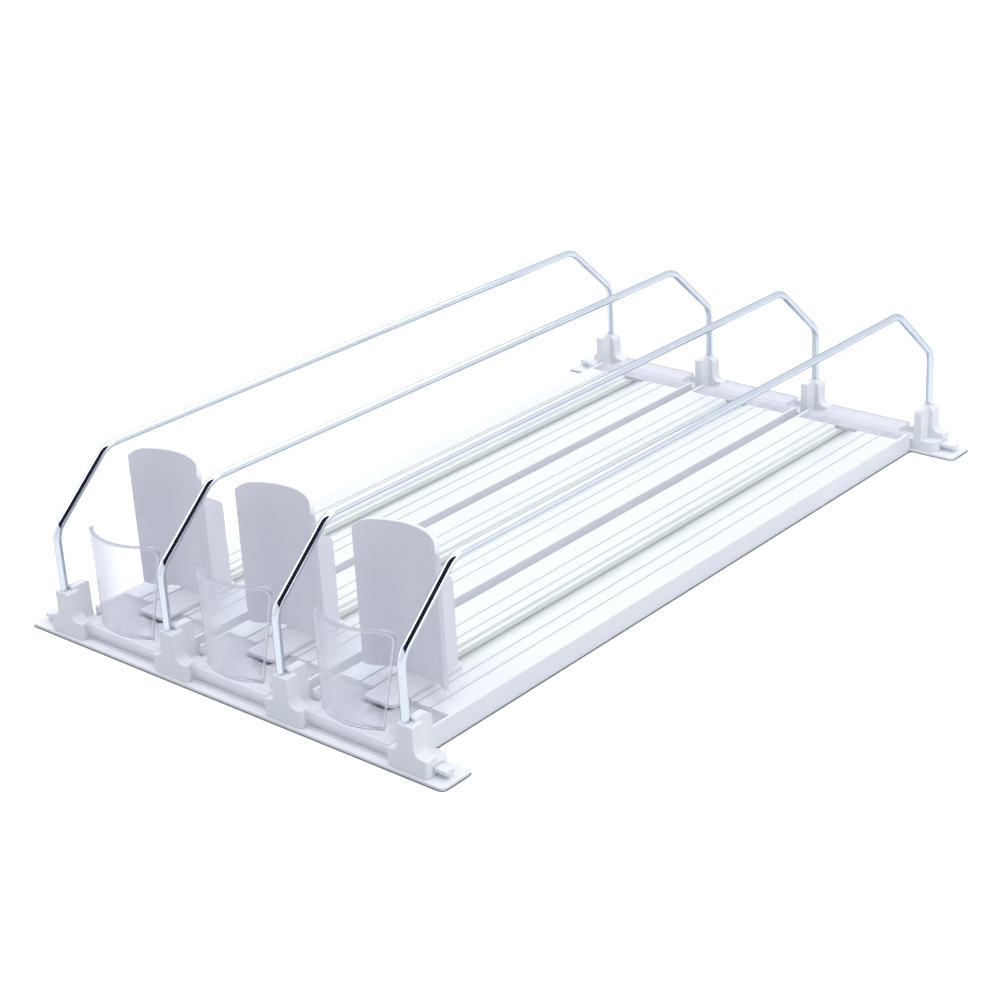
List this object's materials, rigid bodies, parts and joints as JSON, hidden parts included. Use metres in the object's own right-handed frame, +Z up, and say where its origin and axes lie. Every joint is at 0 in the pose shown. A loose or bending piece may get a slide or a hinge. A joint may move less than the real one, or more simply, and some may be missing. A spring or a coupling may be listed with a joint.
{
  "type": "fridge can organizer",
  "caption": "Low can organizer for a fridge shelf: ribbed lanes parted by bent wires, with clear front stops and sprung pushers that bring the cans forward.",
  "frame": {"origin": "on the shelf, at the middle of the rectangle that the two rails reach over", "axes": "+X to the right along the rails, +Y along the lanes from the stops to the back, +Z up"},
  "size_m": [0.268, 0.4412, 0.0885],
  "materials": {
    "white_plastic": "satin moulded white",
    "clear_plastic": "clear moulded, glossy",
    "drum_plastic": "natural nylon",
    "spring_steel": "rolled strip",
    "chrome_wire": "bright plated wire"
  },
  "bodies": {
    "base": {"front_rail": "white_plastic", "rear_rail": "white_plastic", "track_1": "white_plastic", "front_stop_1": "clear_plastic", "rear_cap_1": "clear_plastic", "spring_strip_1": "spring_steel", "track_2": "white_plastic", "front_stop_2": "clear_plastic", "rear_cap_2": "clear_plastic", "spring_strip_2": "spring_steel", "track_3": "white_plastic", "front_stop_3": "clear_plastic", "rear_cap_3": "clear_plastic", "spring_strip_3": "spring_steel", "divider_wire_2": "chrome_wire", "front_clip_2": "white_plastic", "rear_clip_2": "white_plastic", "divider_wire_3": "chrome_wire", "front_clip_3": "white_plastic", "rear_clip_3": "white_plastic"},
    "pusher_body_1": {"pusher_1": "white_plastic"},
    "spring_roll_1": {"spring_hub_1": "drum_plastic", "spring_coil_1": "spring_steel"},
    "pusher_body_2": {"pusher_2": "white_plastic"},
    "spring_roll_2": {"spring_hub_2": "drum_plastic", "spring_coil_2": "spring_steel"},
    "pusher_body_3": {"pusher_3": "white_plastic"},
    "spring_roll_3": {"spring_hub_3": "drum_plastic", "spring_coil_3": "spring_steel"},
    "divider_left": {"divider_wire_1": "chrome_wire", "front_clip_1": "white_plastic", "rear_clip_1": "white_plastic"},
    "divider_right": {"divider_wire_4": "chrome_wire", "front_clip_4": "white_plastic", "rear_clip_4": "white_plastic"}
  },
  "joints": [
    {"name": "pusher_slide_1", "type": "slide", "parent": "base", "child": "pusher_body_1", "axis": [0, 1, 0], "range_m": [0, 0.338], "stiffness_N_per_m": 2, "springref_m": -1.2, "deforming": ["spring_strip_1"]},
    {"name": "roll_turn_1", "type": "hinge", "parent": "pusher_body_1", "child": "spring_roll_1", "pos_m": [-0.074, -0.1568, 0.0124], "axis": [-1, 0, 0], "range_deg": [0, 2640]},
    {"name": "pusher_slide_2", "type": "slide", "parent": "base", "child": "pusher_body_2", "axis": [0, 1, 0], "range_m": [0, 0.338], "stiffness_N_per_m": 2, "springref_m": -1.2, "deforming": ["spring_strip_2"]},
    {"name": "roll_turn_2", "type": "hinge", "parent": "pusher_body_2", "child": "spring_roll_2", "pos_m": [0, -0.1568, 0.0124], "axis": [-1, 0, 0], "range_deg": [0, 2640]},
    {"name": "pusher_slide_3", "type": "slide", "parent": "base", "child": "pusher_body_3", "axis": [0, 1, 0], "range_m": [0, 0.338], "stiffness_N_per_m": 2, "springref_m": -1.2, "deforming": ["spring_strip_3"]},
    {"name": "roll_turn_3", "type": "hinge", "parent": "pusher_body_3", "child": "spring_roll_3", "pos_m": [0.074, -0.1568, 0.0124], "axis": [-1, 0, 0], "range_deg": [0, 2640]},
    {"name": "divider_spread_left", "type": "slide", "parent": "base", "child": "divider_left", "axis": [-1, 0, 0], "range_m": [0, 0.0095]},
    {"name": "divider_spread_right", "type": "slide", "parent": "base", "child": "divider_right", "axis": [1, 0, 0], "range_m": [0, 0.0095]}
  ],
  "couplings": [
    {"joint": "roll_turn_1", "follows": "pusher_slide_1", "rad_per_m": 135.14},
    {"joint": "roll_turn_2", "follows": "pusher_slide_2", "rad_per_m": 135.14},
    {"joint": "roll_turn_3", "follows": "pusher_slide_3", "rad_per_m": 135.14}
  ]
}
